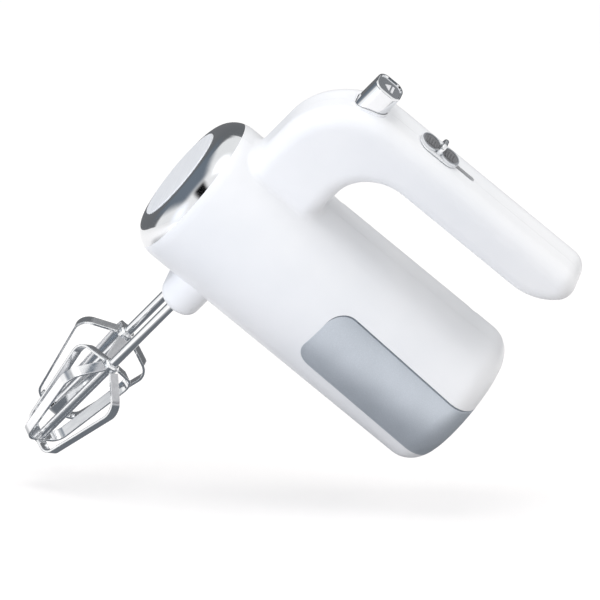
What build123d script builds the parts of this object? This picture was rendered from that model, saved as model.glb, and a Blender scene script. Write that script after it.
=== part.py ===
# Hand mixer standing on its heel, in mm.
# The barrel axis is +Z, the handle is on +X, the beaters point to -X, the left side is -Y.
import os
from math import acos, cos, degrees, pi, radians, sin, sqrt

from build123d import *

os.makedirs("parts", exist_ok=True)

# Barrel and nose
body_radius = 40.3
body_length = 185.9
heel_round = 14.0
nose_round = 14.0
nose_depth = 9.2
nose_skirt = 5.0
wall = 3.0
badge_margin = 0.7
badge_sink = 1.0
badge_proud = 0.4

# Handle
handle_top = 105.8
handle_height = 27.0
handle_width = 32.0
handle_edge = 9.0
neck_drop = 19.0
neck_depth = 42.5
neck_foot = 20.0
neck_blend = 4.0
crown_radius = 40.0
grip_radius = 23.5
tail_end = 4.8
tail_round = 10.0
tail_sweep = 30.0

# Heel band
band_front = 87.9
band_middle = 0.1
band_half_height = 18.0
band_tilt = 2.0
band_corner = 10.0
band_gap = 0.9
band_thickness = 1.8

# Beater drive
drive_drop = 41.2
beater_spacing = 32.0
boss_reach = 50.0
boss_radius = 11.0
boss_round = 5.0
worm_pitch_radius = 4.5
worm_starts = 2
worm_length = 28.0
worm_gap = 5.2
wheel_teeth = 24
wheel_face = 7.0
tooth_share = 0.4
tooth_height = 0.88
spindle_radius = 5.2
spindle_lip = 1.4
journal_radius = 4.2
bush_radius = 7.6
bush_length = 14.5
bush_lip = 1.5
bridge_low = 6.4
bridge_width = 30.0
bridge_thickness = 3.0

# Beaters
shaft_radius = 2.5
shaft_top = -10.0
lug_reach = 0.9
lug_width = 1.6
lug_length = 3.0
collar_top = -102.0
collar_length = 4.0
collar_radius = 4.1
strip_width = 5.5
strip_thickness = 1.2
loop_drop = 2.3
loop_length = 63.2
shoulder_reach = 23.1
shoulder_drop = 11.4
foot_reach = 11.8
shoulder_bend = 9.0
foot_bend = 7.0
rivet_radius = 1.6
rivet_head = 3.0
rivet_cap = 1.1

# Ejector
press_travel = 6.0
button_length = 15.3
button_width = 15.0
button_corner = 5.0
button_back = 2.8
button_rise = 11.2
button_depth = 23.0
button_dish = 0.8
dish_margin = 1.5
button_play = 0.25
flange_margin = 1.4
flange_thickness = 2.5
rim_margin = 0.9
rim_depth = 1.0
rim_proud = 0.9
pin_head_radius = 3.8
pin_head_thickness = 2.0
pin_spare = 1.3
yoke_size = 8.0
yoke_gap = 0.2
yoke_foot = 3.1
yoke_bar = 5.0
shelf_drop = 41.0
shelf_thickness = 2.5
stop_size = 12.0
stop_thickness = 5.0
spring_room_round = 1.0
spring_wire = 1.1
spring_turns = 6

# Speed control
slide_travel = 12.0
slider_gap = 40.2
slider_length = 23.5
slider_width = 12.6
skirt_thickness = 0.5
thumb_thickness = 1.4
pad_margin = 0.9
pad_rim = 0.8
pad_sink = 0.8
ridge_width = 0.7
ridge_pitch = 1.6
fin_rise = 7.0
fin_thickness = 2.6
fin_width = 9.5
slot_width = 3.0
tongue_rear = 10.8
tongue_front = 7.0
carriage_width = 12.0
carriage_length = 20.0
carriage_height = 5.0
contact_gap = 1.0
contact_width = 3.0
contact_spread = 4.5
switch_lift = 2.4
switch_half_width = 9.0
switch_rear_reach = 26.9
switch_front_reach = 19.1

# Motor, heights along the barrel axis
axle_radius = 3.0
rear_bush_low = 22.0
bearing_length = 6.5
bearing_radius = 8.0
rib_thickness = 2.5
stack_low = 60.0
stack_gap = 13.0
stator_radius = 30.0
stator_bore = 17.0
air_gap = 0.7
window_length = 7.0
window_height = 5.0
window_spread = 8.5
window_rise = 3.2
rotor_slots = 12
rotor_slot_width = 2.4
rotor_slot_depth = 5.3
winding_overhang = 8.0
coil_rise = 1.4
coil_thickness = 6.0
coil_overhang = 5.5
commutator_low = 34.0
commutator_length = 12.0
commutator_radius = 9.5
brush_width = 5.0
brush_height = 6.0
brush_length = 13.0
brush_box_width = 9.0
brush_box_length = 15.0
brush_plate_bore = 15.0
brush_plate_thickness = 2.5
fan_gap = 6.0
fan_height = 10.0
fan_blade = 1.6
fan_vanes = 9

# Screws, cord inlet and vents
screw_low = 28.0
screw_radius = 1.45
screw_head_radius = 2.9
screw_head_thickness = 2.0
screw_reach = 9.0
screw_seat = 8.0
column_radius = 4.6
inlet_lean = 30.0
inlet_radius = 3.8
inlet_wall = 1.7
inlet_lip = 1.6
inlet_flange = 1.2
inlet_proud = 0.6
vent_width = 2.4
vent_length = 22.0
vent_pitch = 6.0
vent_count = 6
vent_low = 46.0

# Clearances
seat = 0.05
slip = 0.06
play = 0.4

# Barrel and handle places
seam = body_length - nose_depth
inner_radius = body_radius - wall
badge_radius = body_radius - nose_round - badge_margin
neck_front = body_length - neck_drop
neck_back = neck_front - neck_depth
handle_under = handle_top - handle_height
handle_middle = handle_top - handle_height / 2
tail_middle = tail_end + handle_height / 2
tail_turn = acos((handle_height - tail_round - tail_sweep) / (tail_sweep - tail_round))
tail_spot = (handle_top - tail_round, tail_end + tail_round)
sweep_rise = (tail_sweep - tail_round) * sin(tail_turn)
sweep_spot = (handle_under + tail_sweep, tail_spot[1] + sweep_rise)

# Drive and beater places
drive_height = body_length - drive_drop
side = beater_spacing / 2
bore_radius = shaft_radius + 2 * slip
bush_low = bush_lip - boss_reach
bush_high = bush_low + bush_length
bridge_top = bridge_low + bridge_thickness
worm_low = drive_height - worm_length / 2
worm_high = drive_height + worm_length / 2
wheel_pitch_radius = side - worm_pitch_radius
tooth_pitch = 2 * pi * wheel_pitch_radius / wheel_teeth
worm_lead = worm_starts * tooth_pitch
worm_slope = worm_lead / (2 * pi * worm_pitch_radius)
collar_low = collar_top - collar_length
loop_top = collar_top - loop_drop
loop_bottom = collar_top - loop_length
shoulder_level = collar_top - shoulder_drop

# Ejector places
button_height = drive_height - button_back
button_top = handle_top + button_rise
button_low = handle_top - button_depth
pin_radius = shaft_radius - 0.15
pin_top = bridge_top + press_travel + pin_head_thickness + pin_spare
yoke_bar_low = pin_top + yoke_gap + yoke_foot
shelf_level = handle_top - shelf_drop
shelf_top = shelf_level + shelf_thickness
spring_radius = yoke_size / sqrt(2) + spring_room_round

# Speed control places
slider_middle = button_height - slider_gap
skirt_low = handle_top + play
thumb_low = skirt_low + skirt_thickness
thumb_high = thumb_low + thumb_thickness
fin_top = handle_top + fin_rise
tongue_width = slot_width - 0.7
tongue_low = slider_middle - tongue_rear
tongue_high = slider_middle + tongue_front
slot_low = tongue_low - slide_travel - play
slot_high = tongue_high + play
carriage_low = handle_top - wall - play - carriage_height
switch_low = handle_under + wall + switch_lift
switch_high = carriage_low - contact_gap
switch_rear = slider_middle - switch_rear_reach
switch_front = slider_middle + switch_front_reach
switch_middle = (switch_rear + switch_front) / 2

# Motor places
rear_bush_high = rear_bush_low + bearing_length
front_bush_high = worm_low - worm_gap
front_bush_low = front_bush_high - bearing_length
nose_bush_low = worm_high + worm_gap / 2
nose_bush_high = nose_bush_low + bearing_length
axle_low = rear_bush_low - 2
axle_high = nose_bush_high + 0.5
fan_low = front_bush_low - fan_gap - fan_height
stack_high = fan_low - stack_gap
rotor_radius = stator_bore - air_gap
slot_root = rotor_radius - rotor_slot_depth
coil_inner = stator_bore + coil_rise
coil_outer = coil_inner + coil_thickness
window_middle = stator_bore + window_rise
commutator_high = commutator_low + commutator_length
brush_level = commutator_low + commutator_length / 2
brush_plate_low = commutator_high + 0.5
screw_offset = inner_radius - column_radius + 0.3
fan_radius = screw_offset - column_radius - 0.9

# Screw and vent places
screw_high = front_bush_low - 4
grip_screw = switch_rear - 12
barrel_screws = [(turn * screw_offset, z) for turn in (1, -1) for z in (screw_low, screw_high)]
handle_screws = [
    (shelf_level - 10, neck_front - wall - column_radius - 2.3),
    (handle_middle, (tail_middle + grip_screw) / 2),
    (handle_middle, grip_screw),
]
screws = barrel_screws + handle_screws
vent_heights = [vent_low, fan_low - 6]


def keep(piece, name):
    piece.part.label = name
    export_step(piece.part, f"parts/{name}.step")


def across(x, y=0.0, z=0.0):
    # A drawing plane that faces +X, drawn with Y to the right and Z up.
    return Plane(origin=(x, y, z), x_dir=(0, 1, 0), z_dir=(1, 0, 0))


def barrel_form(inset):
    with BuildPart() as form:
        with BuildSketch(Plane.XZ):
            with BuildLine():
                nose_spot = (body_radius - nose_round, body_length - nose_round)
                heel = CenterArc((body_radius - heel_round, heel_round), heel_round - inset, -90, 90)
                nose = CenterArc(nose_spot, nose_round - inset, 0, 90)
                Line(heel @ 1, nose @ 0)
                Polyline(nose @ 1, (0, body_length - inset), (0, inset), heel @ 0)
            make_face()
        revolve(axis=Axis.Z)
    return form.part


def handle_form(inset):
    with BuildPart() as form:
        with BuildSketch(Plane.XZ):
            with BuildLine():
                crown_spot = (handle_top - crown_radius, neck_front - crown_radius)
                grip_spot = (handle_under - grip_radius, neck_back - grip_radius)
                crown = CenterArc(crown_spot, crown_radius - inset, 0, 90)
                turn = degrees(tail_turn)
                tail = CenterArc(tail_spot, tail_round - inset, -turn, turn)
                under = CenterArc(sweep_spot, tail_sweep - inset, 180, 180 - turn)
                grip = CenterArc(grip_spot, grip_radius + inset, 0, 90)
                Line(tail @ 1, crown @ 0)
                Line(under @ 0, grip @ 0)
                foot_front = (neck_foot, neck_front - inset)
                foot_back = (neck_foot, neck_back + inset)
                Polyline(crown @ 1, foot_front, foot_back, grip @ 1)
            make_face()
        extrude(amount=handle_width / 2 - inset, both=True)
        rims = form.faces().filter_by(Axis.Y).edges()
        rims = rims.filter_by(lambda edge: edge.center().X > neck_foot + 1)
        fillet(rims, radius=handle_edge - inset)
    return form.part


def ring(low, high, outer, inner):
    with BuildPart() as piece:
        with BuildSketch(Plane.XY.offset(low)):
            Circle(outer)
            Circle(inner, mode=Mode.SUBTRACT)
        extrude(amount=high - low)
    return piece.part


# Outer form of both housing halves

with BuildPart() as boss:
    with BuildSketch(across(-boss_reach, 0, drive_height)):
        SlotCenterToCenter(beater_spacing, 2 * boss_radius)
    extrude(amount=boss_reach - sqrt(inner_radius**2 - (side + boss_radius) ** 2))
    fillet(boss.faces().sort_by(Axis.X)[0].edges(), radius=boss_round)

with BuildPart() as outer:
    add(barrel_form(0))
    add(handle_form(0))
    neck_edges = outer.edges(Select.NEW)
    fillet(neck_edges, radius=neck_blend)
    add(boss.part)


def drilled(start, depth, radius):
    # A round cutter from the given point, running away to -Y.
    with BuildPart() as piece:
        with BuildSketch(Plane(origin=start, x_dir=(1, 0, 0), z_dir=(0, -1, 0))):
            Circle(radius)
        extrude(amount=depth)
    return piece.part


# Hollow inside both housing halves, with its ribs, shelf and screw columns left standing

rib_rings = [
    (rear_bush_low + 2, bearing_radius),
    (stack_low + 4, stator_radius),
    (stack_high - 10, stator_radius),
    (front_bush_low + 2, bearing_radius),
    (nose_bush_low + 2, bearing_radius),
]

with BuildPart() as hollow:
    add(barrel_form(wall))
    add(handle_form(wall))
    for low, bore in rib_rings:
        add(ring(low, low + rib_thickness, inner_radius + wall / 2, bore + seat), mode=Mode.SUBTRACT)
    with BuildSketch(across(shelf_level, 0, drive_height)):
        Rectangle(handle_width, 2 * neck_depth)
        Rectangle(yoke_size + 2 * play, yoke_size + 2 * play, mode=Mode.SUBTRACT)
    extrude(amount=shelf_thickness, mode=Mode.SUBTRACT)
    for x, z in screws:
        add(drilled((x, body_radius, z), 2 * body_radius, column_radius), mode=Mode.SUBTRACT)

# Heel band and the pocket it lies in

# The pocket is taller than the band by the gap, which shows as a dark line along the band's upper edge
band_length = band_front + body_radius
band_centre = band_front / 2 - body_radius / 2
pocket_shift = band_gap / 2


def band_zone(height, shift):
    with BuildPart() as zone:
        with BuildSketch(Plane.XZ):
            shift_up = shift * cos(radians(band_tilt))
            shift_back = shift * sin(radians(band_tilt))
            with Locations((band_middle + shift_up, band_centre - shift_back)):
                RectangleRounded(height, band_length, band_corner, rotation=-band_tilt)
        extrude(amount=2 * body_radius, both=True)
    return zone.part


with BuildPart() as heel_band:
    add(barrel_form(0))
    add(barrel_form(band_thickness), mode=Mode.SUBTRACT)
    add(band_zone(2 * band_half_height, 0), mode=Mode.INTERSECT)
keep(heel_band, "heel_band")

with BuildPart() as band_pocket:
    add(barrel_form(-1.0))
    add(barrel_form(band_thickness + seat), mode=Mode.SUBTRACT)
    add(band_zone(2 * band_half_height + band_gap, pocket_shift), mode=Mode.INTERSECT)

# Rim of the eject button, let into the handle

hole_width = button_width + 2 * button_play
hole_length = button_length + 2 * button_play

with BuildPart() as rim_zone:
    with BuildSketch(across(handle_middle, 0, button_height)):
        rim_length = hole_length + 2 * rim_margin
        RectangleRounded(hole_width + 2 * rim_margin, rim_length, button_corner + rim_margin)
        RectangleRounded(hole_width, hole_length, button_corner, mode=Mode.SUBTRACT)
    extrude(amount=handle_height)

with BuildPart() as button_rim:
    add(handle_form(-rim_proud))
    add(handle_form(rim_depth), mode=Mode.SUBTRACT)
    add(rim_zone.part, mode=Mode.INTERSECT)
keep(button_rim, "button_rim")

with BuildPart() as rim_pocket:
    add(rim_zone.part)
    add(handle_form(rim_depth + seat), mode=Mode.SUBTRACT)

# Housing halves

inlet_spot = (sweep_spot[0], 0, sweep_spot[1])
inlet_way = (-cos(radians(inlet_lean)), 0, -sin(radians(inlet_lean)))
inlet_plane = Plane(origin=inlet_spot, x_dir=(0, 1, 0), z_dir=inlet_way)
inlet_outer = inlet_radius + inlet_wall
inlet_flat = tail_sweep - inlet_flange

with BuildPart() as shell:
    add(outer.part)
    add(hollow.part, mode=Mode.SUBTRACT)
    split(bisect_by=Plane.XY.offset(seam), keep=Keep.BOTTOM)
    add(band_pocket.part, mode=Mode.SUBTRACT)
    with BuildSketch(across(handle_middle, 0, button_height)):
        RectangleRounded(hole_width, hole_length, button_corner)
    extrude(amount=handle_height, mode=Mode.SUBTRACT)
    add(rim_pocket.part, mode=Mode.SUBTRACT)
    with BuildSketch(across(handle_middle, 0, (slot_low + slot_high) / 2)):
        SlotOverall(slot_high - slot_low, slot_width, rotation=90)
    extrude(amount=handle_height, mode=Mode.SUBTRACT)
    for y in (-side, side):
        with BuildSketch(across(bush_low, y, drive_height)):
            Circle(bush_radius + seat)
        extrude(amount=boss_reach / 2, mode=Mode.SUBTRACT)
        with BuildSketch(across(-boss_reach, y, drive_height)):
            Circle(spindle_radius + 2 * play)
        extrude(amount=boss_radius, mode=Mode.SUBTRACT)
    for z in vent_heights:
        with BuildSketch(across(-body_radius - 1, 0, z)):
            with GridLocations(vent_pitch, vent_length, vent_count, 1):
                SlotOverall(vent_length, vent_width, rotation=90)
        extrude(amount=2.5 * wall + 1, mode=Mode.SUBTRACT)
    with BuildSketch(inlet_plane.offset(inlet_flat - 3 * wall)):
        Circle(inlet_outer + seat)
    extrude(amount=6 * wall, mode=Mode.SUBTRACT)
    with BuildSketch(inlet_plane.offset(inlet_flat)):
        Circle(inlet_outer + inlet_lip + seat)
    extrude(amount=3 * wall, mode=Mode.SUBTRACT)

with BuildPart() as left_housing:
    add(shell.part)
    split(bisect_by=Plane.XZ, keep=Keep.TOP)
    for x, z in screws:
        add(drilled((x, 1, z), screw_reach + 2, screw_radius + seat), mode=Mode.SUBTRACT)
keep(left_housing, "left_housing")

with BuildPart() as right_housing:
    add(shell.part)
    split(bisect_by=Plane.XZ, keep=Keep.BOTTOM)
    for x, z in screws:
        add(drilled((x, body_radius, z), 2 * body_radius, screw_radius + seat), mode=Mode.SUBTRACT)
        head_hole = drilled((x, body_radius, z), body_radius - screw_seat, screw_head_radius + play)
        add(head_hole, mode=Mode.SUBTRACT)
keep(right_housing, "right_housing")

with BuildPart() as housing_screws:
    for x, z in screws:
        add(drilled((x, screw_seat + screw_head_thickness, z), screw_head_thickness, screw_head_radius))
        add(drilled((x, screw_seat, z), screw_seat + screw_reach, screw_radius))
keep(housing_screws, "housing_screws")

# Nose cap, badge and cord inlet

seam_rise = seam - body_length + nose_round
seam_radius = body_radius - nose_round + sqrt((nose_round - wall) ** 2 - seam_rise**2) - seat

with BuildPart() as nose_cap:
    add(barrel_form(0))
    add(barrel_form(wall), mode=Mode.SUBTRACT)
    split(bisect_by=Plane.XY.offset(seam), keep=Keep.TOP)
    add(ring(seam - nose_skirt, seam + 2, seam_radius, seam_radius - 2))
    with BuildSketch(Plane.XY.offset(body_length - badge_sink)):
        Circle(badge_radius + seat)
    extrude(amount=2 * badge_sink, mode=Mode.SUBTRACT)
keep(nose_cap, "nose_cap")

with BuildPart() as nose_badge:
    with BuildSketch(Plane.XY.offset(body_length - badge_sink)):
        Circle(badge_radius)
    extrude(amount=badge_sink + badge_proud)
    fillet(nose_badge.faces().sort_by(Axis.Z)[-1].edges(), radius=badge_proud * 0.8)
keep(nose_badge, "nose_badge")

with BuildPart() as cord_inlet_bush:
    with BuildSketch(inlet_plane.offset(inlet_flat - 2 * wall)):
        Circle(inlet_outer)
    extrude(amount=2 * wall + inlet_flange / 2)
    with BuildSketch(inlet_plane.offset(inlet_flat)):
        Circle(inlet_outer + inlet_lip)
    extrude(amount=inlet_flange + inlet_proud)
    with BuildSketch(inlet_plane.offset(inlet_flat - 3 * wall)):
        Circle(inlet_radius)
    extrude(amount=6 * wall, mode=Mode.SUBTRACT)
keep(cord_inlet_bush, "cord_inlet_bush")

# Motor: fixed pieces

with BuildPart() as stator_core:
    with BuildSketch(Plane.XY.offset(stack_low)):
        Circle(stator_radius)
        Circle(stator_bore, mode=Mode.SUBTRACT)
        with GridLocations(2 * window_spread, 2 * window_middle, 2, 2):
            RectangleRounded(window_length, window_height, 1, mode=Mode.SUBTRACT)
    extrude(amount=stack_high - stack_low)
keep(stator_core, "stator_core")

leg_length = window_length - play

with BuildPart() as field_coils:
    for turn in (1, -1):
        for low in (stack_low - coil_overhang - seat, stack_high + seat):
            with BuildSketch(Plane.XY.offset(low)):
                Circle(coil_outer)
                Circle(coil_inner, mode=Mode.SUBTRACT)
                with Locations((turn * (coil_outer / 2 + window_spread - leg_length / 2), 0)):
                    Rectangle(coil_outer, 2 * coil_outer, mode=Mode.INTERSECT)
            extrude(amount=coil_overhang)
        with BuildSketch(Plane.XY.offset(stack_low - 1)):
            with Locations((turn * window_spread, window_middle), (turn * window_spread, -window_middle)):
                RectangleRounded(leg_length, window_height - play, 1)
        extrude(amount=stack_high - stack_low + 2)
keep(field_coils, "field_coils")

bearing_spots = {
    "rear_bush": (rear_bush_low, rear_bush_high),
    "front_bush": (front_bush_low, front_bush_high),
    "nose_bush": (nose_bush_low, nose_bush_high),
}
for bush_name, (low, high) in bearing_spots.items():
    with BuildPart() as axle_bush:
        add(ring(low, high, bearing_radius, axle_radius + slip))
        chamfer(axle_bush.edges().filter_by(GeomType.CIRCLE).sort_by(SortBy.RADIUS)[-2:], length=0.8)
    keep(axle_bush, bush_name)

with BuildPart() as brush_plate:
    brush_plate_top = brush_plate_low + brush_plate_thickness
    add(ring(brush_plate_low, brush_plate_top, inner_radius - seat, brush_plate_bore))
keep(brush_plate, "brush_plate")

box_low = brush_level - brush_height / 2 - 1.6
box_start = commutator_radius + 1.5
hanging = (Align.CENTER, Align.MIN, Align.MAX)
outwards = (Align.CENTER, Align.MIN, Align.CENTER)

with BuildPart() as brush_boxes:
    for turn in (0, 180):
        with Locations(Location((0, 0, brush_plate_low), (0, 0, turn)) * Location((0, box_start, 0))):
            Box(brush_box_width, brush_box_length, brush_plate_low - box_low, align=hanging)
    for turn in (0, 180):
        with Locations(Location((0, 0, brush_level), (0, 0, turn))):
            way = (brush_width + 0.2, 2 * brush_box_length + box_start, brush_height + 0.2)
            Box(*way, align=outwards, mode=Mode.SUBTRACT)
keep(brush_boxes, "brush_boxes")

with BuildPart() as carbon_brushes:
    for turn in (0, 180):
        brush_start = Location((0, commutator_radius + play, 0))
        with Locations(Location((0, 0, brush_level), (0, 0, turn)) * brush_start):
            Box(brush_width, brush_length, brush_height, align=outwards)
keep(carbon_brushes, "carbon_brushes")

# Motor: turning pieces

with BuildPart() as rotor_core:
    with BuildSketch(Plane.XY.offset(stack_low)):
        Circle(rotor_radius)
        Circle(axle_radius, mode=Mode.SUBTRACT)
        with PolarLocations(0, rotor_slots):
            with Locations((slot_root + rotor_radius / 2, 0)):
                Rectangle(rotor_radius, rotor_slot_width, mode=Mode.SUBTRACT)
    extrude(amount=stack_high - stack_low)
keep(rotor_core, "rotor_core")

with BuildPart() as rotor_windings:
    for low in (stack_low - winding_overhang, stack_high + seat):
        add(ring(low, low + winding_overhang - seat, rotor_radius - 1.9, axle_radius + 2))
    fillet(rotor_windings.edges().filter_by(GeomType.CIRCLE).group_by(SortBy.RADIUS)[-1], radius=2.5)
    with BuildSketch(Plane.XY.offset(stack_low - 3)):
        with PolarLocations(0, rotor_slots):
            with Locations((slot_root + 2, 0)):
                Rectangle(3.6, rotor_slot_width - 0.3)
    extrude(amount=stack_high - stack_low + 6)
keep(rotor_windings, "rotor_windings")

with BuildPart() as commutator:
    add(ring(commutator_low, commutator_high, commutator_radius, axle_radius))
    with BuildSketch(Plane.XY.offset(commutator_low)):
        with PolarLocations(commutator_radius, 2 * rotor_slots):
            Rectangle(1.6, 0.5)
    extrude(amount=commutator_high - commutator_low, mode=Mode.SUBTRACT)
keep(commutator, "commutator")

with BuildPart() as cooling_fan:
    add(ring(fan_low, fan_low + fan_blade, fan_radius, axle_radius))
    add(ring(fan_low, fan_low + fan_height, axle_radius + 3.5, axle_radius))
    with BuildSketch(Plane.XY.offset(fan_low)):
        with PolarLocations(0, fan_vanes):
            with Locations((fan_radius * 0.67, 0)):
                Rectangle(fan_radius * 0.62, fan_blade, rotation=12)
    extrude(amount=fan_height)
keep(cooling_fan, "cooling_fan")

# Two-start worm cut on the motor axle; a crest faces each wheel's gap at the drive height

crest_share = tooth_share * tooth_pitch / 2
flank = tooth_height * 0.3
worm_root = worm_pitch_radius - 1.3 * tooth_height
worm_start = drive_height - worm_lead / 4 - (worm_length // worm_lead + 1) * worm_lead

with BuildPart() as worm_thread:
    with BuildLine():
        worm_rise = worm_high - worm_start + worm_lead
        helix = Helix(worm_lead, worm_rise, worm_pitch_radius, center=(0, 0, worm_start))
    with BuildSketch(Plane(origin=helix @ 0, x_dir=(1, 0, 0), z_dir=helix % 0)):
        with BuildLine():
            Polyline(
                (-1.8 * tooth_height, -crest_share - 1.8 * flank),
                (tooth_height, -crest_share + flank),
                (tooth_height, crest_share - flank),
                (-1.8 * tooth_height, crest_share + 1.8 * flank),
                close=True,
            )
        make_face()
    sweep(path=helix, is_frenet=True)

with BuildPart() as motor_axle:
    for start in range(worm_starts):
        add(worm_thread.part, rotation=(0, 0, 360 * start / worm_starts))
    with BuildSketch(Plane.XY.offset(worm_low)):
        Circle(3 * worm_pitch_radius)
    extrude(amount=worm_high - worm_low, mode=Mode.INTERSECT)
    with BuildSketch(Plane.XY.offset(worm_low)):
        Circle(worm_root)
    extrude(amount=worm_high - worm_low)
    with BuildSketch(Plane.XY.offset(axle_low)):
        Circle(axle_radius)
    extrude(amount=axle_high - axle_low)
keep(motor_axle, "motor_axle")

# Worm wheels: the left one is the right one turned half round the worm

wheel_root = wheel_pitch_radius - 1.3 * tooth_height
wheel_tip = wheel_pitch_radius + tooth_height

with BuildPart() as right_wheel:
    with BuildSketch(across(-wheel_face / 2, side, drive_height)):
        Circle(wheel_root)
        Circle(spindle_radius + seat, mode=Mode.SUBTRACT)
    extrude(amount=wheel_face)
    for tooth in range(wheel_teeth):
        for x in (-wheel_face / 2, wheel_face / 2):
            angle = pi + 2 * pi * (tooth + 0.5) / wheel_teeth + x * worm_slope / wheel_pitch_radius
            outwards = (0, cos(angle), sin(angle))
            with BuildSketch(Plane(origin=(x, side, drive_height), x_dir=outwards, z_dir=(1, 0, 0))):
                with BuildLine():
                    Polyline(
                        (wheel_root - 0.4, -crest_share - 1.7 * flank),
                        (wheel_tip, -crest_share + flank),
                        (wheel_tip, crest_share - flank),
                        (wheel_root - 0.4, crest_share + 1.7 * flank),
                        close=True,
                    )
                make_face()
        loft(ruled=True)
keep(right_wheel, "right_wheel")

with BuildPart() as left_wheel:
    add(right_wheel.part, rotation=(0, 0, 180))
keep(left_wheel, "left_wheel")

# Spindles, socket bushes, push pins and the bridge over the wheels


def spindle(y):
    with BuildPart() as piece:
        with BuildSketch(across(-boss_reach + 0.5, y, drive_height)):
            Circle(spindle_radius)
        extrude(amount=boss_reach - 0.5 + bridge_low - play)
        with BuildSketch(across(0, y, drive_height)):
            Circle(journal_radius)
        extrude(amount=bridge_top - 0.2)
        with BuildSketch(across(bush_high + play, y, drive_height)):
            Circle(spindle_radius + spindle_lip)
        extrude(amount=2)
        with BuildSketch(across(-boss_reach, y, drive_height)):
            Circle(bore_radius)
        extrude(amount=boss_reach + bridge_top, mode=Mode.SUBTRACT)
        with BuildSketch(across(-boss_reach, y, drive_height)):
            Rectangle(lug_width + 4 * slip, 2 * (shaft_radius + lug_reach + 2 * slip))
        extrude(amount=boss_reach + shaft_top, mode=Mode.SUBTRACT)
    return piece


def socket_bush(y):
    with BuildPart() as piece:
        with BuildSketch(across(bush_low, y, drive_height)):
            Circle(bush_radius)
            Circle(spindle_radius + slip, mode=Mode.SUBTRACT)
        extrude(amount=bush_high - bush_low)
    return piece


def push_pin(y):
    with BuildPart() as piece:
        with BuildSketch(across(shaft_top, y, drive_height)):
            Circle(pin_radius)
        extrude(amount=pin_top - shaft_top)
        with BuildSketch(across(pin_top - pin_head_thickness, y, drive_height)):
            Circle(pin_head_radius)
        extrude(amount=pin_head_thickness)
        chamfer(piece.faces().sort_by(Axis.X)[-1].edges(), length=0.4)
    return piece


with BuildPart() as gear_bridge:
    with BuildSketch(across(bridge_low, 0, drive_height)):
        reach = sqrt((inner_radius - seat) ** 2 - bridge_top**2)
        Rectangle(2 * reach, bridge_width)
        with Locations((-side, 0), (side, 0)):
            Circle(journal_radius + slip, mode=Mode.SUBTRACT)
    extrude(amount=bridge_thickness)
keep(gear_bridge, "gear_bridge")

# Beaters


def beater_shaft(y):
    with BuildPart() as piece:
        low = loop_bottom + 2 * strip_thickness + 2 * seat
        with BuildSketch(across(low, y, drive_height)):
            Circle(shaft_radius)
        extrude(amount=shaft_top - low)
        chamfer(piece.faces().sort_by(Axis.X)[-1].edges(), length=0.6)
        with Locations((shaft_top - 2 * lug_length, y, drive_height)):
            Box(lug_length, lug_width, 2 * (shaft_radius + lug_reach))
        with BuildSketch(across(loop_bottom - rivet_cap / 2, y, drive_height)):
            Circle(rivet_radius)
        extrude(amount=low - loop_bottom + rivet_cap)
        with BuildSketch(across(loop_bottom - rivet_cap, y, drive_height)):
            Circle(rivet_head)
        extrude(amount=rivet_cap - seat)
        fillet(piece.faces().sort_by(Axis.X)[0].edges(), radius=0.7 * rivet_cap)
    return piece


def beater_loop(y, angle, lift):
    outwards = Vector(0, sin(radians(angle)), cos(radians(angle)))
    flat = Plane(origin=(0, y, drive_height), x_dir=outwards, z_dir=outwards.cross(Vector(1, 0, 0)))
    low = loop_bottom + lift
    loop_start = collar_radius + strip_thickness / 2 + seat
    with BuildPart() as piece:
        with BuildSketch(flat):
            with BuildLine():
                FilletPolyline(
                    (-loop_start, loop_top),
                    (-shoulder_reach, shoulder_level),
                    (-foot_reach, low),
                    (foot_reach, low),
                    (shoulder_reach, shoulder_level),
                    (loop_start, loop_top),
                    radius=[shoulder_bend, foot_bend, foot_bend, shoulder_bend],
                )
                offset(amount=strip_thickness, side=Side.LEFT)
            make_face()
        extrude(amount=strip_width / 2, both=True)
        with BuildSketch(across(low - 1, y, drive_height)):
            Circle(rivet_radius + seat)
        extrude(amount=strip_thickness + 2, mode=Mode.SUBTRACT)
    return piece


def beater_collar(y):
    with BuildPart() as piece:
        with BuildSketch(across(collar_low, y, drive_height)):
            Circle(collar_radius)
            Circle(shaft_radius + seat, mode=Mode.SUBTRACT)
        extrude(amount=collar_top - collar_low)
        chamfer(piece.faces().sort_by(Axis.X)[-1].outer_wire().edges(), length=0.8)
    return piece


for hand, y, angle in (("left", -side, 45), ("right", side, 0)):
    keep(spindle(y), f"{hand}_spindle")
    keep(socket_bush(y), f"{hand}_socket_bush")
    keep(push_pin(y), f"{hand}_push_pin")
    keep(beater_shaft(y), f"{hand}_beater_shaft")
    keep(beater_collar(y), f"{hand}_beater_collar")
    keep(beater_loop(y, angle, 0), f"{hand}_outer_loop")
    keep(beater_loop(y, angle + 90, strip_thickness + seat), f"{hand}_inner_loop")

# Eject button, yoke and return spring

with BuildPart() as eject_button:
    with BuildSketch(across(button_low, 0, button_height)):
        RectangleRounded(button_width, button_length, button_corner)
    extrude(amount=button_top - button_low)
    fillet(eject_button.faces().sort_by(Axis.X)[-1].edges(), radius=1.0)
    with BuildSketch(across(button_low, 0, button_height)):
        flange_width = button_width + 2 * flange_margin
        RectangleRounded(flange_width, button_length + 2 * flange_margin, button_corner)
    extrude(amount=flange_thickness)
    dish_width = button_width - 2 * dish_margin
    dish_length = button_length - 2 * dish_margin
    with BuildSketch(across(button_top - button_dish, 0, button_height)):
        RectangleRounded(dish_width, dish_length, button_corner - dish_margin)
    extrude(amount=button_dish + 1, taper=-20, mode=Mode.SUBTRACT)
keep(eject_button, "eject_button")

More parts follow.
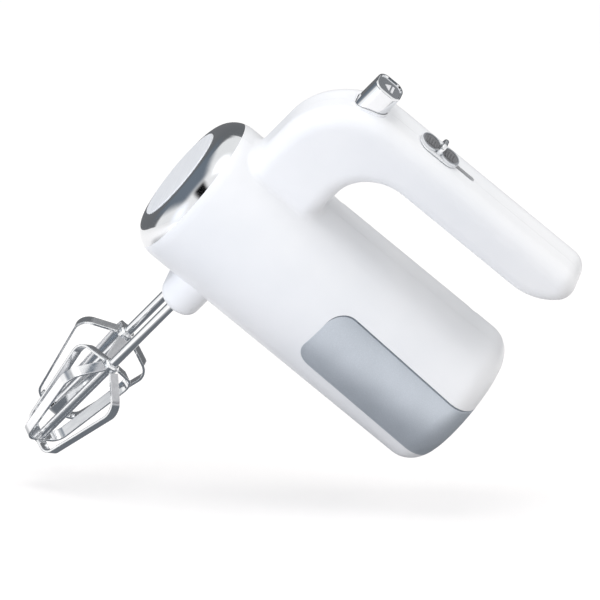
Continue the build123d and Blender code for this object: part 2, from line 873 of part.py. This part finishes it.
with BuildPart() as ejector_yoke:
    with BuildSketch(across(yoke_bar_low, 0, drive_height)):
        Rectangle(yoke_size, yoke_size)
    extrude(amount=button_low - yoke_bar_low)
    with BuildSketch(across(yoke_bar_low, 0, drive_height)):
        SlotCenterToCenter(beater_spacing, yoke_size)
    extrude(amount=yoke_bar)
    with BuildSketch(across(pin_top + yoke_gap, 0, drive_height)):
        with Locations((-side, 0), (side, 0)):
            Circle(pin_head_radius)
    extrude(amount=yoke_bar_low - pin_top)
    with BuildSketch(across(shelf_level - play - stop_thickness, 0, drive_height)):
        Rectangle(stop_size, stop_size)
    extrude(amount=stop_thickness)
keep(ejector_yoke, "ejector_yoke")

spring_room = button_low - shelf_top - spring_wire - 4 * seat

with BuildPart() as eject_spring:
    with BuildLine():
        spring_foot = (shelf_top + spring_wire / 2 + 2 * seat, 0, drive_height)
        pitch = spring_room / spring_turns
        coil = Helix(pitch, spring_room, spring_radius, center=spring_foot, direction=(1, 0, 0))
    with BuildSketch(Plane(origin=coil @ 0, z_dir=coil % 0)):
        Circle(spring_wire / 2)
    sweep(path=coil, is_frenet=True)
keep(eject_spring, "eject_spring")

# Speed slider, its pads and skirt, the carriage and the switch under it

with BuildPart() as slider_skirt:
    with BuildSketch(across(skirt_low, 0, slider_middle)):
        SlotOverall(slider_length, slider_width, rotation=90)
    extrude(amount=skirt_thickness)
keep(slider_skirt, "slider_skirt")

pad_spots = [(0, -slider_length / 4), (0, slider_length / 4)]
rim_half_width = slider_width / 2 - pad_margin
rim_half_length = slider_length / 4 - pad_margin / 3
pad_half_width = rim_half_width - pad_rim
pad_half_length = rim_half_length - pad_rim

with BuildPart() as speed_slider:
    with BuildSketch(across(thumb_low, 0, slider_middle)):
        with Locations(*pad_spots):
            Ellipse(rim_half_width, rim_half_length)
        Rectangle(fin_width, fin_thickness)
    extrude(amount=thumb_thickness)
    with BuildSketch(across(thumb_high - pad_sink, 0, slider_middle)):
        with Locations(*pad_spots):
            Ellipse(pad_half_width, pad_half_length)
    extrude(amount=thumb_thickness, mode=Mode.SUBTRACT)
    with BuildSketch(Plane(origin=(thumb_low, 0, slider_middle), x_dir=(1, 0, 0), z_dir=(0, 0, 1))):
        with Locations(((fin_top - thumb_low) / 2 - 1.5, 0)):
            RectangleRounded(fin_top - thumb_low + 3, fin_width, 2.9)
        with Locations((-10, 0)):
            Rectangle(20, 2 * fin_width, mode=Mode.SUBTRACT)
    extrude(amount=fin_thickness / 2, both=True)
    fin_edges = speed_slider.edges().filter_by(lambda edge: edge.center().X > thumb_high + 1)
    fillet(fin_edges.filter_by(lambda edge: abs(edge.tangent_at(0.5).Z) < 0.5), radius=1.1)
keep(speed_slider, "speed_slider")

with BuildPart() as slider_pads:
    with BuildSketch(across(thumb_high - pad_sink, 0, slider_middle)):
        with Locations(*pad_spots):
            Ellipse(pad_half_width - seat, pad_half_length - seat)
        Rectangle(fin_width, fin_thickness + 2 * seat, mode=Mode.SUBTRACT)
    extrude(amount=pad_sink - 0.3)
    with BuildSketch(across(thumb_high - pad_sink, 0, slider_middle)):
        for _, spot in pad_spots:
            with Locations((0, spot)):
                with GridLocations(0, ridge_pitch, 1, 4):
                    Rectangle(1.2 * pad_half_width, ridge_width)
    extrude(amount=pad_sink + 0.2)
keep(slider_pads, "slider_pads")

with BuildPart() as slider_carriage:
    with BuildSketch(across(carriage_low, 0, slider_middle)):
        Rectangle(carriage_width, carriage_length)
    extrude(amount=carriage_height)
    with BuildSketch(across(carriage_low, 0, (tongue_low + tongue_high) / 2)):
        SlotOverall(tongue_high - tongue_low, tongue_width, rotation=90)
    extrude(amount=skirt_low - carriage_low)
keep(slider_carriage, "slider_carriage")

switch_length = switch_front - switch_rear

with BuildPart() as speed_switch:
    with BuildSketch(across(switch_low, 0, switch_middle)):
        RectangleRounded(2 * switch_half_width, switch_length, 1.5)
    extrude(amount=switch_high - switch_low)
keep(speed_switch, "speed_switch")

with BuildPart() as switch_contacts:
    with BuildSketch(across(switch_high, 0, switch_middle)):
        with Locations((-contact_spread, 0), (contact_spread, 0)):
            Rectangle(contact_width, switch_length - 8)
    extrude(amount=contact_gap - play)
keep(switch_contacts, "switch_contacts")
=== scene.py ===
import math

import bmesh
import bpy
from mathutils import Matrix, Vector


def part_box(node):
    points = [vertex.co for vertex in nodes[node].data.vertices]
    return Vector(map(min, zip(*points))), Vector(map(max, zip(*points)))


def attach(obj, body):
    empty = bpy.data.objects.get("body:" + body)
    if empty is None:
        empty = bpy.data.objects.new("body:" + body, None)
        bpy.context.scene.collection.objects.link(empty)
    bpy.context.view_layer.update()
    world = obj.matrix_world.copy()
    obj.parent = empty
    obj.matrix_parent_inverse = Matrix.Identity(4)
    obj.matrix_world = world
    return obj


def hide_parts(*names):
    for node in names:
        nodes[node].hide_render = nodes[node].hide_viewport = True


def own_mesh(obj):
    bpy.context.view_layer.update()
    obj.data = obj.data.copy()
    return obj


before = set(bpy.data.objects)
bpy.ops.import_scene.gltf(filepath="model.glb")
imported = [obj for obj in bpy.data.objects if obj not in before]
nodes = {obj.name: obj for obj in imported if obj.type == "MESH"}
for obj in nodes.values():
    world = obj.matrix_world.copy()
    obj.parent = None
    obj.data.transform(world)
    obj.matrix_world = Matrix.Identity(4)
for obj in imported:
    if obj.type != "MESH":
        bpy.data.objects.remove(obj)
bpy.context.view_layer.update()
print("frame loaded,", len(nodes), "pieces")


def hexToLinear(code):
    values = [int(code[i:i + 2], 16) / 255 for i in (1, 3, 5)]
    return [v / 12.92 if v <= 0.04045 else ((v + 0.055) / 1.055) ** 2.4 for v in values] + [1.0]


def perMm(size):
    # pattern scale for a feature of this size in mm, on coordinates in metres
    return 1000.0 / size


def addNode(tree, kind, inputs=None, **settings):
    node = tree.nodes.new(kind)
    for name, value in settings.items():
        setattr(node, name, value)
    for name, value in (inputs or {}).items():
        if isinstance(value, bpy.types.NodeSocket):
            tree.links.new(value, node.inputs[name])
        else:
            node.inputs[name].default_value = value
    return node


def startMaterial(name, sockets):
    material = bpy.data.materials.new(name)
    material.use_nodes = True
    tree = material.node_tree
    shader = tree.nodes["Principled BSDF"]
    for socket, value in sockets.items():
        shader.inputs[socket].default_value = value
    place = addNode(tree, "ShaderNodeTexCoord").outputs["Object"]
    return material, tree, shader, place


def varyColour(tree, shader, factor, dark, light, low=0.35, high=0.65):
    ramp = addNode(tree, "ShaderNodeValToRGB", {"Fac": factor})
    ramp.color_ramp.elements[0].position = low
    ramp.color_ramp.elements[0].color = hexToLinear(dark)
    ramp.color_ramp.elements[1].position = high
    ramp.color_ramp.elements[1].color = hexToLinear(light)
    tree.links.new(ramp.outputs["Color"], shader.inputs["Base Color"])


def varyRoughness(tree, shader, factor, low, high):
    span = addNode(tree, "ShaderNodeMapRange", {"Value": factor, "To Min": low, "To Max": high})
    tree.links.new(span.outputs["Result"], shader.inputs["Roughness"])


def addRelief(tree, shader, height, depthMm):
    relief = addNode(tree, "ShaderNodeBump", {"Height": height, "Distance": depthMm / 1000})
    tree.links.new(relief.outputs["Normal"], shader.inputs["Normal"])


# ABS, injection moulded in a fine-spark mould: clean white with a soft sheen that breaks up slightly, and a
# shallow line at the middle plane where the two halves of the shell meet
whiteAbs = {"dark": "#eceef1", "light": "#f3f4f6", "grainMm": 1.2, "grainDepth": 0.006, "cloudMm": 60,
            "partingMm": 0.35, "partingDepth": 0.12, "rough": (0.3, 0.38)}
absMoulded, tree, shader, place = startMaterial("absWhiteMoulded", {"IOR": 1.53})
cloud = addNode(tree, "ShaderNodeTexNoise", {
    "Vector": place, "Scale": perMm(whiteAbs["cloudMm"]), "Detail": 3.0})
grain = addNode(tree, "ShaderNodeTexNoise", {
    "Vector": place, "Scale": perMm(whiteAbs["grainMm"]), "Detail": 2.0})
varyColour(tree, shader, cloud.outputs["Fac"], whiteAbs["dark"], whiteAbs["light"])
varyRoughness(tree, shader, cloud.outputs["Fac"], *whiteAbs["rough"])
sideways = addNode(tree, "ShaderNodeSeparateXYZ", {"Vector": place})
fromMiddle = addNode(tree, "ShaderNodeMath", {0: sideways.outputs["Y"]}, operation="ABSOLUTE")
groove = addNode(tree, "ShaderNodeMapRange", {
    "Value": fromMiddle.outputs["Value"], "From Max": whiteAbs["partingMm"] / 1000},
    interpolation_type="SMOOTHSTEP")
parting = addNode(tree, "ShaderNodeBump", {
    "Height": groove.outputs["Result"], "Distance": whiteAbs["partingDepth"] / 1000})
relief = addNode(tree, "ShaderNodeBump", {
    "Height": grain.outputs["Fac"], "Distance": whiteAbs["grainDepth"] / 1000,
    "Normal": parting.outputs["Normal"]})
tree.links.new(relief.outputs["Normal"], shader.inputs["Normal"])

# bright chromium plated on moulded ABS: mirror bright, with the slow ripple of the plastic under it
chromePlate = {"dark": "#dfe1e3", "light": "#e8e9eb", "rippleMm": 25, "rippleDepth": 0.01, "hazeMm": 5,
               "rough": (0.07, 0.13)}
chromeAbs, tree, shader, place = startMaterial("chromePlatedAbs", {"Metallic": 1.0})
ripple = addNode(tree, "ShaderNodeTexNoise", {
    "Vector": place, "Scale": perMm(chromePlate["rippleMm"]), "Detail": 1.0})
haze = addNode(tree, "ShaderNodeTexNoise", {
    "Vector": place, "Scale": perMm(chromePlate["hazeMm"]), "Detail": 4.0})
varyColour(tree, shader, ripple.outputs["Fac"], chromePlate["dark"], chromePlate["light"])
varyRoughness(tree, shader, haze.outputs["Fac"], *chromePlate["rough"])
addRelief(tree, shader, ripple.outputs["Fac"], chromePlate["rippleDepth"])

# aluminium foil disc, brushed one way: pale, with fine straight lines drawn wider than the real grit to show
brushedDisc = {"dark": "#eceff3", "light": "#f9fafc", "lineMm": 0.5, "runMm": 30, "lineDepth": 0.01,
               "rough": (0.28, 0.42)}
brushedAluminium, tree, shader, place = startMaterial("aluminiumBrushed", {"Metallic": 0.05})
stretch = addNode(tree, "ShaderNodeMapping", {"Vector": place})
stretch.inputs["Scale"].default_value = (perMm(brushedDisc["lineMm"]), perMm(brushedDisc["runMm"]), 1.0)
brushing = addNode(tree, "ShaderNodeTexNoise", {
    "Vector": stretch.outputs["Vector"], "Scale": 1.0, "Detail": 3.0})
varyColour(tree, shader, brushing.outputs["Fac"], brushedDisc["dark"], brushedDisc["light"])
varyRoughness(tree, shader, brushing.outputs["Fac"], *brushedDisc["rough"])
addRelief(tree, shader, brushing.outputs["Fac"], brushedDisc["lineDepth"])

# ABS with a sprayed metallic lacquer: grey-blue body colour, fine bright flakes under a clear coat
bandLacquer = {"dark": "#bbc2ca", "light": "#c9d0d8", "flakeMm": 0.5, "cloudMm": 40, "edgeMm": 0.5,
               "flakeShare": 0.25, "rough": (0.3, 0.42)}
metallicLacquer, tree, shader, place = startMaterial(
    "lacquerMetallicSprayed", {"Metallic": 0.45, "Coat Weight": 0.25, "Coat Roughness": 0.15})
flake = addNode(tree, "ShaderNodeTexVoronoi", {"Vector": place, "Scale": perMm(bandLacquer["flakeMm"])})
cloud = addNode(tree, "ShaderNodeTexNoise", {"Vector": place, "Scale": perMm(bandLacquer["cloudMm"])})
tint = addNode(tree, "ShaderNodeMix", {
    "Factor": bandLacquer["flakeShare"], "A": cloud.outputs["Fac"], "B": flake.outputs["Distance"]})
varyColour(tree, shader, tint.outputs["Result"], bandLacquer["dark"], bandLacquer["light"])
varyRoughness(tree, shader, flake.outputs["Distance"], *bandLacquer["rough"])
edge = addNode(tree, "ShaderNodeBevel", {"Radius": bandLacquer["edgeMm"] / 1000}, samples=6)
tree.links.new(edge.outputs["Normal"], shader.inputs["Normal"])

# chromium-plated steel strip and rod: bright, with faint lines along the drawn length and edges broken in
# the press
beaterSteel = {"dark": "#eeeff1", "light": "#f8f9fa", "lineMm": 1.5, "runMm": 25, "edgeMm": 0.5,
               "rough": (0.06, 0.12)}
platedSteel, tree, shader, place = startMaterial("steelStripPlated", {"Metallic": 1.0})
stretch = addNode(tree, "ShaderNodeMapping", {"Vector": place})
stretch.inputs["Scale"].default_value = (
    perMm(beaterSteel["runMm"]), perMm(beaterSteel["lineMm"]), perMm(beaterSteel["lineMm"]))
drawn = addNode(tree, "ShaderNodeTexNoise", {
    "Vector": stretch.outputs["Vector"], "Scale": 1.0, "Detail": 2.0})
varyColour(tree, shader, drawn.outputs["Fac"], beaterSteel["dark"], beaterSteel["light"])
varyRoughness(tree, shader, drawn.outputs["Fac"], *beaterSteel["rough"])
edge = addNode(tree, "ShaderNodeBevel", {"Radius": beaterSteel["edgeMm"] / 1000}, samples=6)
tree.links.new(edge.outputs["Normal"], shader.inputs["Normal"])

# soft-touch rubber pads: dark grey and dull, with a fine skin
padRubber = {"dark": "#68696c", "light": "#7e7f82", "skinMm": 0.4, "skinDepth": 0.03, "rough": (0.5, 0.7)}
rubberMoulded, tree, shader, place = startMaterial("rubberMoulded", {"IOR": 1.5})
skin = addNode(tree, "ShaderNodeTexNoise", {
    "Vector": place, "Scale": perMm(padRubber["skinMm"]), "Detail": 3.0})
varyColour(tree, shader, skin.outputs["Fac"], padRubber["dark"], padRubber["light"])
varyRoughness(tree, shader, skin.outputs["Fac"], *padRubber["rough"])
addRelief(tree, shader, skin.outputs["Fac"], padRubber["skinDepth"])

# mostly hidden pieces: each finish has its colour pair, speckle size in mm, metal share and roughness span
hiddenFinishes = {
    "steelZincPlated": {
        "dark": "#a5a7ab", "light": "#c2c4c7", "mm": 0.8, "metal": 1.0, "rough": (0.3, 0.45)},
    "steelGround": {
        "dark": "#b2b3b6", "light": "#cfd0d2", "mm": 0.6, "metal": 1.0, "rough": (0.2, 0.32)},
    "bronzeSintered": {
        "dark": "#8c6a3c", "light": "#b38d56", "mm": 0.5, "metal": 1.0, "rough": (0.35, 0.5)},
    "carbonPressed": {
        "dark": "#1d1d1f", "light": "#333336", "mm": 0.5, "metal": 0.0, "rough": (0.55, 0.75)},
    "nylonBlackMoulded": {
        "dark": "#1f2022", "light": "#2c2d30", "mm": 1.0, "metal": 0.0, "rough": (0.4, 0.55)},
    "nylonNaturalMoulded": {
        "dark": "#dcd8c8", "light": "#ebe8dc", "mm": 2.0, "metal": 0.0, "rough": (0.35, 0.5)},
    "pvcGreyMoulded": {
        "dark": "#d0d2d5", "light": "#dfe1e3", "mm": 1.0, "metal": 0.0, "rough": (0.45, 0.6)},
    "copperTurned": {
        "dark": "#a8623c", "light": "#cf8a5e", "mm": 0.7, "metal": 1.0, "rough": (0.22, 0.36)},
}
speckleDepth = 0.02
hidden = {}
for finish, looks in hiddenFinishes.items():
    hidden[finish], tree, shader, place = startMaterial(finish, {"Metallic": looks["metal"]})
    speckle = addNode(tree, "ShaderNodeTexNoise", {
        "Vector": place, "Scale": perMm(looks["mm"]), "Detail": 3.0})
    varyColour(tree, shader, speckle.outputs["Fac"], looks["dark"], looks["light"])
    varyRoughness(tree, shader, speckle.outputs["Fac"], *looks["rough"])
    addRelief(tree, shader, speckle.outputs["Fac"], speckleDepth)

# electrical steel stampings: dark grey, stacked along the axis, drawn in bands far wider than the real sheet
# of about 0.5 mm to show; a wave along one axis runs 20 radians for each unit of its scale
lamination = {"dark": "#55575b", "light": "#7b7d81", "bandMm": 6.2832, "sheetDepth": 0.08,
              "rough": (0.4, 0.55)}
steelStampings, tree, shader, place = startMaterial("electricalSteelStacked", {"Metallic": 0.9})
sheets = addNode(tree, "ShaderNodeTexWave", {
    "Vector": place, "Scale": perMm(lamination["bandMm"]) * 2 * math.pi / 20}, bands_direction="Z")
varyColour(tree, shader, sheets.outputs["Fac"], lamination["dark"], lamination["light"], low=0.2, high=0.8)
varyRoughness(tree, shader, sheets.outputs["Fac"], *lamination["rough"])
addRelief(tree, shader, sheets.outputs["Fac"], lamination["sheetDepth"])

# enamelled copper wire, wound: red-brown strands side by side under varnish, drawn far wider than the real
# wire to show; a diagonal wave runs 10 radians along each of the three axes for each unit of its scale
winding = {"dark": "#6e3418", "light": "#b5652f", "bandMm": 6.5297, "wireDepth": 0.2, "rough": (0.25, 0.4)}
copperWound, tree, shader, place = startMaterial(
    "copperEnamelledWound", {"Metallic": 0.7, "Coat Weight": 0.3})
windingScale = perMm(winding["bandMm"]) * 2 * math.pi / (10 * math.sqrt(3))
strands = addNode(tree, "ShaderNodeTexWave", {
    "Vector": place, "Scale": windingScale, "Distortion": 2.0}, bands_direction="DIAGONAL")
varyColour(tree, shader, strands.outputs["Fac"], winding["dark"], winding["light"], low=0.2, high=0.8)
varyRoughness(tree, shader, strands.outputs["Fac"], *winding["rough"])
addRelief(tree, shader, strands.outputs["Fac"], winding["wireDepth"])
print("materials made:", len(bpy.data.materials))

finishes = {
    "left_housing": absMoulded, "right_housing": absMoulded, "slider_skirt": absMoulded,
    "button_rim": absMoulded, "nose_cap": chromeAbs, "eject_button": chromeAbs, "speed_slider": chromeAbs,
    "nose_badge": brushedAluminium, "heel_band": metallicLacquer, "slider_pads": rubberMoulded,
    "housing_screws": hidden["steelZincPlated"], "cord_inlet_bush": hidden["pvcGreyMoulded"],
    "stator_core": steelStampings, "rotor_core": steelStampings,
    "field_coils": copperWound, "rotor_windings": copperWound,
    "commutator": hidden["copperTurned"], "brush_boxes": hidden["copperTurned"],
    "switch_contacts": hidden["copperTurned"], "carbon_brushes": hidden["carbonPressed"],
    "rear_bush": hidden["bronzeSintered"], "front_bush": hidden["bronzeSintered"],
    "nose_bush": hidden["bronzeSintered"],
    "brush_plate": hidden["nylonBlackMoulded"], "cooling_fan": hidden["nylonBlackMoulded"],
    "speed_switch": hidden["nylonBlackMoulded"], "slider_carriage": hidden["nylonNaturalMoulded"],
    "ejector_yoke": hidden["nylonNaturalMoulded"], "eject_spring": hidden["steelGround"],
    "gear_bridge": hidden["steelGround"], "motor_axle": hidden["steelGround"],
}
for hand in ("left", "right"):
    finishes[hand + "_spindle"] = hidden["steelGround"]
    finishes[hand + "_push_pin"] = hidden["steelGround"]
    finishes[hand + "_wheel"] = hidden["nylonNaturalMoulded"]
    finishes[hand + "_socket_bush"] = hidden["bronzeSintered"]
    for piece in ("beater_shaft", "beater_collar", "outer_loop", "inner_loop"):
        finishes[hand + "_" + piece] = platedSteel
for name, node in nodes.items():
    node.data.materials.clear()
    node.data.materials.append(finishes[name])
print("finishes set on", len(finishes), "pieces")

# eject mark in the dish of the button: a plain triangle over a bar, in pale enamel that stands just proud
ejectMark = {"wideMm": 5.6, "tallMm": 3.2, "gapMm": 0.9, "barMm": 1.3, "dishMm": 0.8, "proudMm": 0.15,
             "softMm": 0.1, "flowMm": 0.6, "dark": "#d5d7db", "light": "#e6e7ea", "rough": (0.3, 0.45)}
buttonLow, buttonHigh = (Vector(corner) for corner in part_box("eject_button"))
half = ejectMark["wideMm"] / 2
barTop = -ejectMark["gapMm"]
barLow = barTop - ejectMark["barMm"]
outlines = (
    ((-half, 0.0), (half, 0.0), (0.0, ejectMark["tallMm"])),
    ((-half, barLow), (half, barLow), (half, barTop), (-half, barTop)),
)
middle = (ejectMark["tallMm"] + barLow) / 2
markFloor = buttonHigh.x - ejectMark["dishMm"] / 1000
shape = bmesh.new()
for outline in outlines:
    corners = [shape.verts.new((markFloor, y / 1000, (buttonLow.z + buttonHigh.z) / 2 + (z - middle) / 1000))
               for y, z in outline]
    lifted = bmesh.ops.extrude_face_region(shape, geom=[shape.faces.new(corners)])["geom"]
    bmesh.ops.translate(shape, vec=(ejectMark["proudMm"] / 1000, 0, 0),
                        verts=[part for part in lifted if isinstance(part, bmesh.types.BMVert)])
bmesh.ops.recalc_face_normals(shape, faces=shape.faces)
mesh = bpy.data.meshes.new("ejectMark")
shape.to_mesh(mesh)
shape.free()
mark = bpy.data.objects.new("ejectMark", mesh)
bpy.context.scene.collection.objects.link(mark)
rounding = mark.modifiers.new("rounding", "BEVEL")
rounding.width = ejectMark["softMm"] / 1000
rounding.segments = 2
enamel, tree, shader, place = startMaterial("enamelPalePrinted", {"IOR": 1.5})
flow = addNode(tree, "ShaderNodeTexNoise", {
    "Vector": place, "Scale": perMm(ejectMark["flowMm"]), "Detail": 2.0})
varyColour(tree, shader, flow.outputs["Fac"], ejectMark["dark"], ejectMark["light"])
varyRoughness(tree, shader, flow.outputs["Fac"], *ejectMark["rough"])
mesh.materials.append(enamel)
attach(mark, "ejector")
print("eject mark set")

# return spring under the button: the CAD coil, carried along with the button as it is pressed
spring = bpy.data.objects.new("ejectSpring", nodes["eject_spring"].data.copy())
bpy.context.scene.collection.objects.link(spring)
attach(spring, "ejector")
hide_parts("eject_spring")
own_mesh(spring)
print("return spring set")

# the photograph's view: a long lens, so lines that are parallel stay parallel
view = {"right": (0.605, 0.228, -0.763), "back": (0.527, -0.833, 0.169), "aim": (-0.0128, 0.0, 0.0974),
        "wide": 0.3, "lens": 700.0, "sensor": 36.0}
back = Vector(view["back"]).normalized()
right = Vector(view["right"])
right = (right - right.dot(back) * back).normalized()
up = back.cross(right)
aim = Vector(view["aim"])


def photoSpot(across, height, toward):
    # a place in metres right of, above and nearer than the middle of the picture
    return aim + across * right + height * up + toward * back


camera = bpy.data.objects.new("camera", bpy.data.cameras.new("camera"))
bpy.context.scene.collection.objects.link(camera)
camera.data.lens = view["lens"]
camera.data.sensor_width = view["sensor"]
camera.data.clip_end = 50.0
distance = view["wide"] * view["lens"] / view["sensor"]
cameraTurn = Matrix((right, up, back)).transposed().to_4x4()
camera.matrix_world = Matrix.Translation(photoSpot(0, 0, distance)) @ cameraTurn
bpy.context.scene.camera = camera


def seenRay(tree):
    # 1 for what the eye sees, straight or in a bright surface, and 0 for light that a surface scatters
    rays = addNode(tree, "ShaderNodeLightPath")
    seen = rays.outputs["Is Camera Ray"]
    for other in ("Is Glossy Ray", "Is Transmission Ray"):
        either = addNode(tree, "ShaderNodeMath", {0: seen, 1: rays.outputs[other]}, operation="MAXIMUM")
        seen = either.outputs["Value"]
    return seen


# paper sweep that the mixer hangs over: white to the eye, with a faint shadow kept in it
floorLook = {"tilt": 12.0, "drop": 0.108, "radius": 1.6, "dark": "#cac8c7", "light": "#d0cecd",
             "fibreMm": 2.0, "nearGlow": 0.44, "farGlow": 0.56, "near": 0.15, "far": 0.6}
tilt = math.radians(floorLook["tilt"])
floorUp = (math.cos(tilt) * up + math.sin(tilt) * back).normalized()
mesh = bpy.data.meshes.new("floor")
shape = bmesh.new()
bmesh.ops.create_circle(shape, cap_ends=True, radius=floorLook["radius"], segments=96)
shape.to_mesh(mesh)
shape.free()
floor = bpy.data.objects.new("floor", mesh)
bpy.context.scene.collection.objects.link(floor)
floorTurn = floorUp.to_track_quat("Z", "Y").to_matrix().to_4x4()
floor.matrix_world = Matrix.Translation(photoSpot(0, -floorLook["drop"], 0)) @ floorTurn
paper, tree, shader, place = startMaterial("paperSweepMatt", {"Roughness": 0.9, "Specular IOR Level": 0.0})
fibre = addNode(tree, "ShaderNodeTexNoise", {"Vector": place, "Scale": perMm(floorLook["fibreMm"])})
varyColour(tree, shader, fibre.outputs["Fac"], floorLook["dark"], floorLook["light"])
glow = addNode(tree, "ShaderNodeEmission", {"Color": hexToLinear("#ffffff")})
fromMiddle = addNode(tree, "ShaderNodeVectorMath", {0: place}, operation="LENGTH")
reach = addNode(tree, "ShaderNodeMapRange", {
    "Value": fromMiddle.outputs["Value"], "From Min": floorLook["near"], "From Max": floorLook["far"],
    "To Min": floorLook["nearGlow"], "To Max": floorLook["farGlow"]}, interpolation_type="SMOOTHSTEP")
shown = addNode(tree, "ShaderNodeMath", {0: seenRay(tree), 1: reach.outputs["Result"]}, operation="MULTIPLY")
tree.links.new(shown.outputs["Value"], glow.inputs["Strength"])
lit = addNode(tree, "ShaderNodeAddShader", {0: shader.outputs["BSDF"], 1: glow.outputs["Emission"]})
clear = addNode(tree, "ShaderNodeBsdfTransparent")
under = addNode(tree, "ShaderNodeNewGeometry")
sheet = addNode(tree, "ShaderNodeMixShader",
                {"Fac": under.outputs["Backfacing"], 1: lit.outputs["Shader"], 2: clear.outputs["BSDF"]})
tree.links.new(sheet.outputs["Shader"], tree.nodes["Material Output"].inputs["Surface"])
mesh.materials.append(paper)

# white room for the eye and for reflections, softer for the light it gives
room = {"seen": 1.0, "given": 0.73, "givenColour": "#fafafb"}
world = bpy.data.worlds.new("room")
bpy.context.scene.world = world
world.use_nodes = True
tree = world.node_tree
ambient = tree.nodes["Background"]
ambient.inputs["Color"].default_value = hexToLinear(room["givenColour"])
ambient.inputs["Strength"].default_value = room["given"]
white = addNode(tree, "ShaderNodeBackground", {"Color": hexToLinear("#ffffff"), "Strength": room["seen"]})
mixed = addNode(tree, "ShaderNodeMixShader",
                {"Fac": seenRay(tree), 1: ambient.outputs["Background"], 2: white.outputs["Background"]})
tree.links.new(mixed.outputs["Shader"], tree.nodes["World Output"].inputs["Surface"])

# soft lamps: place right, up and toward the eye in metres, size in metres, power in watts
lamps = {
    "overheadLamp": {"at": (0.0, 1.1, 0.5), "size": (0.8, 0.8), "watts": 4.2, "colour": "#fffdfa"},
    "leftLamp": {"at": (-0.5, 0.06, 0.5), "size": (0.3, 0.4), "watts": 2.0, "colour": "#eef4ff"},
    "rightLamp": {"at": (0.77, 0.51, 0.41), "size": (0.5, 0.5), "watts": 1.6, "colour": "#fffefc"},
}
for name, lamp in lamps.items():
    data = bpy.data.lights.new(name, "AREA")
    data.shape = "RECTANGLE"
    data.size, data.size_y = lamp["size"]
    data.energy = lamp["watts"]
    data.color = hexToLinear(lamp["colour"])[:3]
    light = bpy.data.objects.new(name, data)
    bpy.context.scene.collection.objects.link(light)
    spot = photoSpot(*lamp["at"])
    light.matrix_world = Matrix.Translation(spot) @ (spot - aim).to_track_quat("Z", "Y").to_matrix().to_4x4()
    light.visible_camera = False
    light.visible_glossy = False

# glowing boards with feathered edges that only bright surfaces show, as painted reflections: place and size
# in metres, shade, the share of the board that its edges take to fade, turn in degrees where it has one, and
# brightness where it isn't 1
boards = {
    "backBoard": {"at": (0.0, 0.0, -0.9), "size": (5.0, 5.0), "shade": "#717376", "feather": 0.3},
    "eyeBoard": {"at": (-0.285, 0.248, 0.55), "size": (0.28, 0.76), "shade": "#0d0e10", "feather": 0.6,
                 "turn": -50.7},
    "sideBoard": {"at": (-0.76, 0.62, -0.08), "size": (1.9, 1.1), "shade": "#737d88", "feather": 0.6},
    "lowBoard": {"at": (-0.03, -0.1, -0.03), "size": (0.8, 0.3), "shade": "#6e7379", "feather": 0.7,
                 "flat": True},
    "frontBoard": {"at": (0.15, -0.19, 0.58), "size": (0.6, 0.2), "shade": "#565c63", "feather": 0.6},
    "upperCard": {"at": (-0.05, 0.93, 0.54), "size": (0.8, 0.8), "shade": "#ffffff", "feather": 0.9,
                  "glow": 2.2},
    "lowerCard": {"at": (-0.58, 0.0, 0.34), "size": (0.5, 0.5), "shade": "#f4f8ff", "feather": 0.9,
                  "glow": 1.4},
    "topCard": {"at": (0.7, 0.6, -0.34), "size": (0.34, 0.34), "shade": "#b0b3b7", "feather": 0.9},
}
boardHalf = 0.5
for name, board in boards.items():
    mesh = bpy.data.meshes.new(name)
    shape = bmesh.new()
    bmesh.ops.create_grid(shape, x_segments=1, y_segments=1, size=boardHalf)
    shape.to_mesh(mesh)
    shape.free()
    card = bpy.data.objects.new(name, mesh)
    bpy.context.scene.collection.objects.link(card)
    spot = photoSpot(*board["at"])
    face = floorUp if "flat" in board else (aim - spot).normalized()
    across = up.cross(face).normalized()
    facing = Matrix((across, face.cross(across), face)).transposed().to_4x4()
    turn = Matrix.Rotation(math.radians(board.get("turn", 0)), 4, "Z")
    spread = Matrix.Diagonal((*board["size"], 1.0, 1.0))
    card.matrix_world = Matrix.Translation(spot) @ facing @ turn @ spread
    card.visible_camera = False
    card.visible_diffuse = False
    card.visible_shadow = False
    # the board's own glow in its shade, seen only in reflections: a painted reflection, dark on the boards
    # and bright on the cards
    reflectionCard, tree, shader, place = startMaterial("reflectionGlowCard" + name, {})
    cardGlow = addNode(tree, "ShaderNodeEmission", {
        "Color": hexToLinear(board["shade"]), "Strength": board.get("glow", 1.0)})
    parts = addNode(tree, "ShaderNodeSeparateXYZ", {"Vector": place})
    edges = []
    for axis in "XY":
        reach = addNode(tree, "ShaderNodeMath", {0: parts.outputs[axis]}, operation="ABSOLUTE")
        fade = addNode(tree, "ShaderNodeMapRange", {
            "Value": reach.outputs["Value"], "From Min": boardHalf,
            "From Max": boardHalf - board["feather"] / 2}, interpolation_type="SMOOTHSTEP")
        edges.append(fade.outputs["Result"])
    cover = addNode(tree, "ShaderNodeMath", {0: edges[0], 1: edges[1]}, operation="MULTIPLY")
    clear = addNode(tree, "ShaderNodeBsdfTransparent")
    soft = addNode(tree, "ShaderNodeMixShader",
                   {"Fac": cover.outputs["Value"], 1: clear.outputs["BSDF"], 2: cardGlow.outputs["Emission"]})
    tree.links.new(soft.outputs["Shader"], tree.nodes["Material Output"].inputs["Surface"])
    mesh.materials.append(reflectionCard)
print("stage set")

bpy.context.scene.view_settings.view_transform = "Standard"
